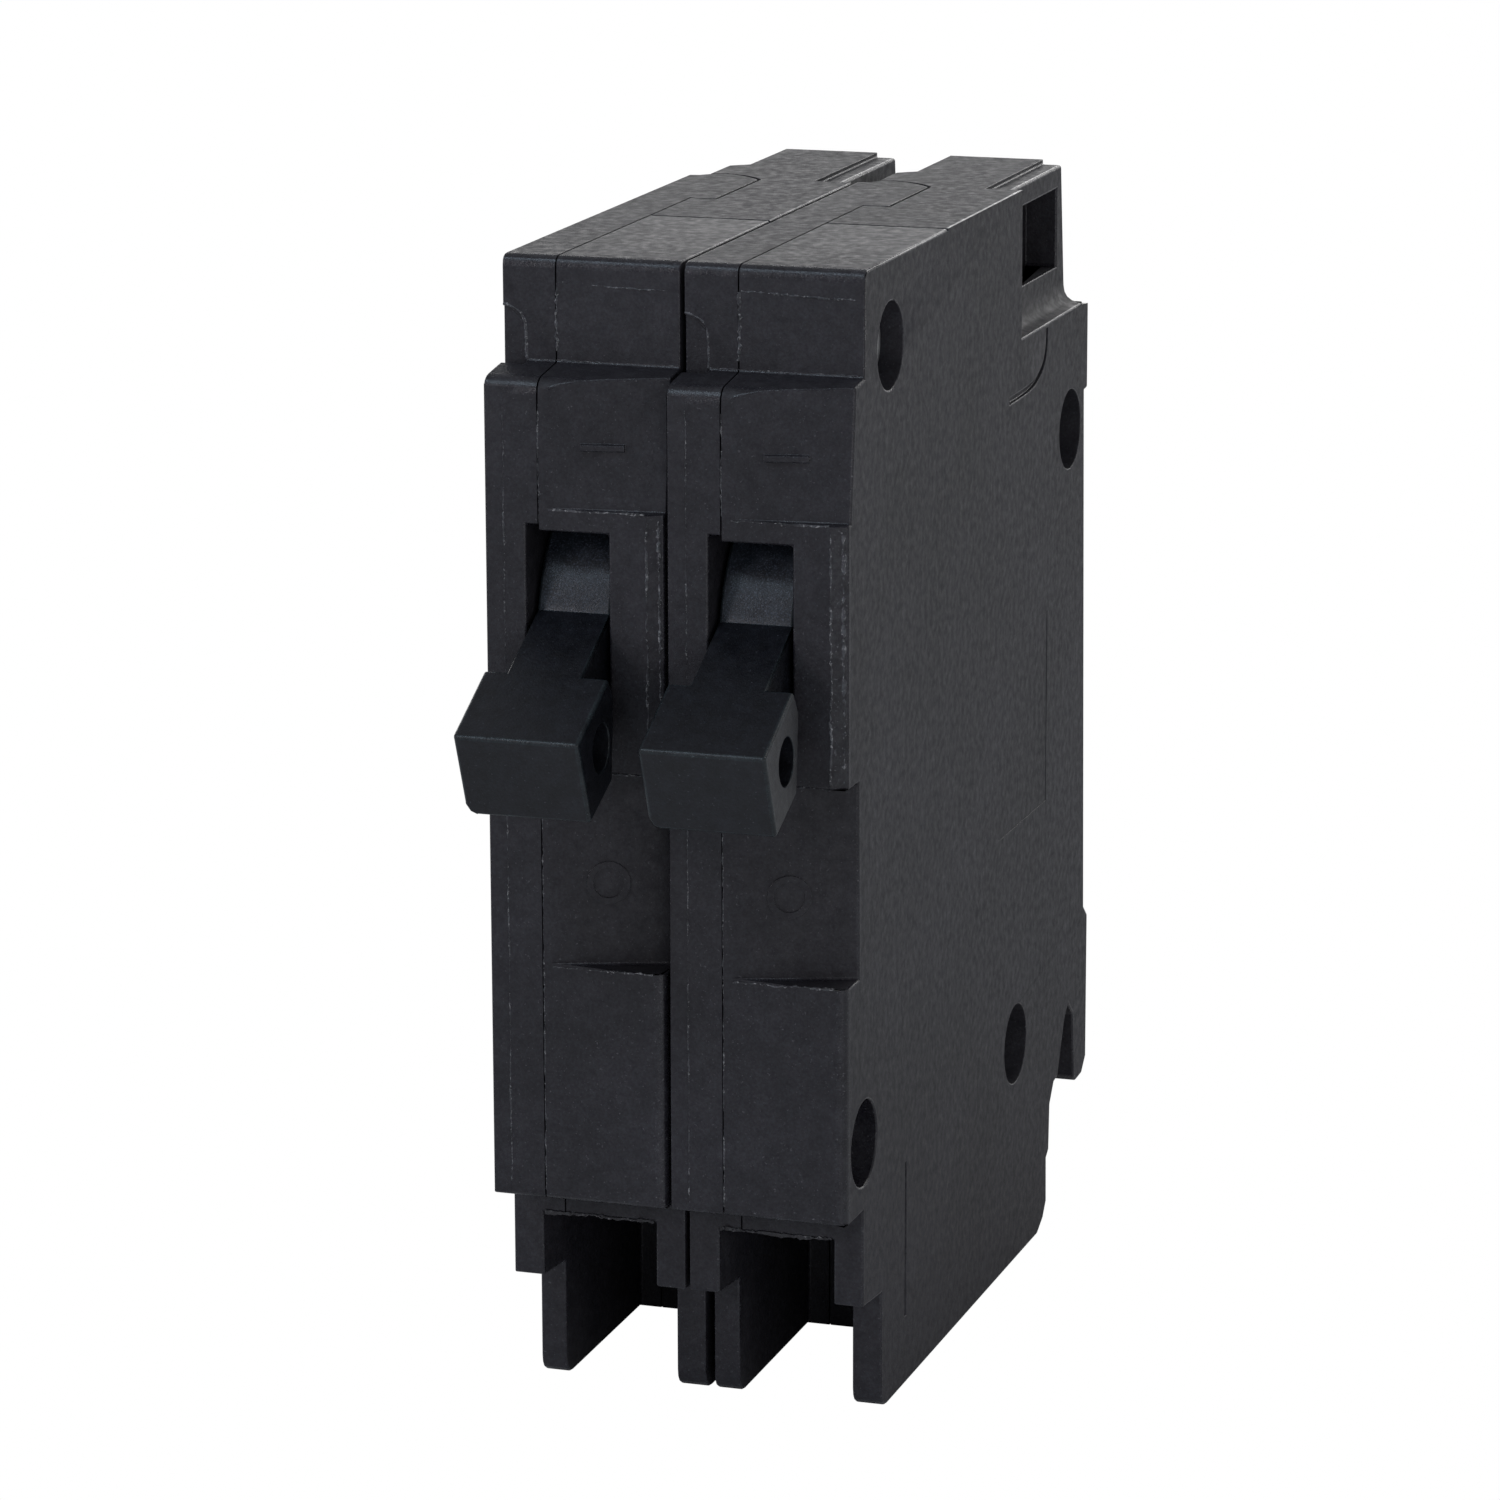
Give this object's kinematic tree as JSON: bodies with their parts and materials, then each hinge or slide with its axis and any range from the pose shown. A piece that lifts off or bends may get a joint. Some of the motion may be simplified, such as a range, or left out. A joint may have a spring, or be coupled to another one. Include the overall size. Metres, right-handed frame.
{
  "type": "circuit breaker",
  "caption": "Twin plug-on circuit breaker: slim moulded poles riveted side by side, each with a toggle handle, a plug-in jaw, a rail hook and a wire clamp.",
  "frame": {"origin": "centre of the bottom face of the bounding box, at the level of the flat load end that the breaker stands on", "axes": "+Z towards the line end, +Y from the handles to the back that meets the panel, +X across the poles to the right seen from the front"},
  "size_m": [0.0254, 0.0738, 0.0805],
  "materials": {
    "case": "matt black moulded thermoset, lightly speckled, with pale wear on edges and mould seams",
    "handle": "blue-black moulded plastic with a low sheen",
    "copper": "bare stamped copper, slightly tarnished",
    "steel": "zinc-plated steel, dull",
    "silver": "dull silver contact metal",
    "brass": "satin spring bronze and bimetal"
  },
  "bodies": {
    "root": {"left_base": "case", "left_cover": "case", "left_handle_pin": "steel", "left_fixed_contact": "silver", "left_line_strap": "copper", "left_line_jaw": "brass", "left_cradle_pin": "steel", "left_toggle_spring": "steel", "left_bimetal": "brass", "left_magnet_yoke": "steel", "left_braid": "copper", "left_load_strap": "copper", "left_calibration_screw": "brass", "left_arc_plate_1": "steel", "left_arc_plate_2": "steel", "left_arc_plate_3": "steel", "right_base": "case", "right_cover": "case", "right_handle_pin": "steel", "right_fixed_contact": "silver", "right_line_strap": "copper", "right_line_jaw": "brass", "right_cradle_pin": "steel", "right_toggle_spring": "steel", "right_bimetal": "brass", "right_magnet_yoke": "steel", "right_braid": "copper", "right_load_strap": "copper", "right_calibration_screw": "brass", "right_arc_plate_1": "steel", "right_arc_plate_2": "steel", "right_arc_plate_3": "steel", "rivet_top_front": "steel", "rivet_top_back": "steel", "rivet_bottom_back": "steel", "rivet_bottom_front": "steel"},
    "left_handle": {"left_handle": "handle"},
    "left_arm": {"left_contact_arm": "copper", "left_moving_contact": "silver"},
    "left_cradle": {"left_cradle": "steel"},
    "left_armature": {"left_armature": "steel"},
    "left_clamp": {"left_wire_clamp": "steel"},
    "left_screw": {"left_terminal_screw": "steel"},
    "right_handle": {"right_handle": "handle"},
    "right_arm": {"right_contact_arm": "copper", "right_moving_contact": "silver"},
    "right_cradle": {"right_cradle": "steel"},
    "right_armature": {"right_armature": "steel"},
    "right_clamp": {"right_wire_clamp": "steel"},
    "right_screw": {"right_terminal_screw": "steel"}
  },
  "joints": [
    {"name": "left_handle_toggle", "type": "hinge", "parent": "root", "child": "left_handle", "pos_m": [-0.0065, -0.01562, 0.055], "axis": [-1, 0, 0], "range_deg": [0, 34], "deforming": ["left_toggle_spring", "left_braid"]},
    {"name": "left_contact_swing", "type": "hinge", "parent": "left_handle", "child": "left_arm", "pos_m": [-0.0065, -0.00844, 0.05719], "axis": [1, 0, 0], "range_deg": [0, 64]},
    {"name": "left_armature_pull", "type": "hinge", "parent": "root", "child": "left_armature", "pos_m": [-0.0065, 0.02259, 0.0272], "axis": [-1, 0, 0], "range_deg": [0, 5], "stiffness_Nm_per_rad": 0.05},
    {"name": "left_cradle_trip", "type": "hinge", "parent": "root", "child": "left_cradle", "pos_m": [-0.0065, 0.00188, 0.0495], "axis": [-1, 0, 0], "range_deg": [0, 19]},
    {"name": "left_screw_turn", "type": "hinge", "parent": "left_clamp", "child": "left_screw", "pos_m": [-0.0065, -0.00812, 0.0173], "axis": [0, 0.9063, 0.4226], "range_deg": [0, 1080]},
    {"name": "left_clamp_travel", "type": "slide", "parent": "root", "child": "left_clamp", "axis": [0, 0.9063, 0.4226], "range_m": [0, 0.00215]},
    {"name": "right_handle_toggle", "type": "hinge", "parent": "root", "child": "right_handle", "pos_m": [0.00635, -0.01562, 0.055], "axis": [-1, 0, 0], "range_deg": [0, 34], "deforming": ["right_toggle_spring", "right_braid"]},
    {"name": "right_contact_swing", "type": "hinge", "parent": "right_handle", "child": "right_arm", "pos_m": [0.00635, -0.00844, 0.05719], "axis": [1, 0, 0], "range_deg": [0, 64]},
    {"name": "right_armature_pull", "type": "hinge", "parent": "root", "child": "right_armature", "pos_m": [0.00635, 0.02259, 0.0272], "axis": [-1, 0, 0], "range_deg": [0, 5], "stiffness_Nm_per_rad": 0.05},
    {"name": "right_cradle_trip", "type": "hinge", "parent": "root", "child": "right_cradle", "pos_m": [0.00635, 0.00188, 0.0495], "axis": [-1, 0, 0], "range_deg": [0, 19]},
    {"name": "right_screw_turn", "type": "hinge", "parent": "right_clamp", "child": "right_screw", "pos_m": [0.00635, -0.00812, 0.0173], "axis": [0, 0.9063, 0.4226], "range_deg": [0, 1080]},
    {"name": "right_clamp_travel", "type": "slide", "parent": "root", "child": "right_clamp", "axis": [0, 0.9063, 0.4226], "range_m": [0, 0.00215]}
  ],
  "couplings": [
    {"joint": "left_contact_swing", "follows": "left_handle_toggle", "ratio": 1.8529},
    {"joint": "left_cradle_trip", "follows": "left_armature_pull", "ratio": 3.6},
    {"joint": "left_clamp_travel", "follows": "left_screw_turn", "m_per_rad": 0.00011141},
    {"joint": "right_contact_swing", "follows": "right_handle_toggle", "ratio": 1.8529},
    {"joint": "right_cradle_trip", "follows": "right_armature_pull", "ratio": 3.6},
    {"joint": "right_clamp_travel", "follows": "right_screw_turn", "m_per_rad": 0.00011141}
  ]
}
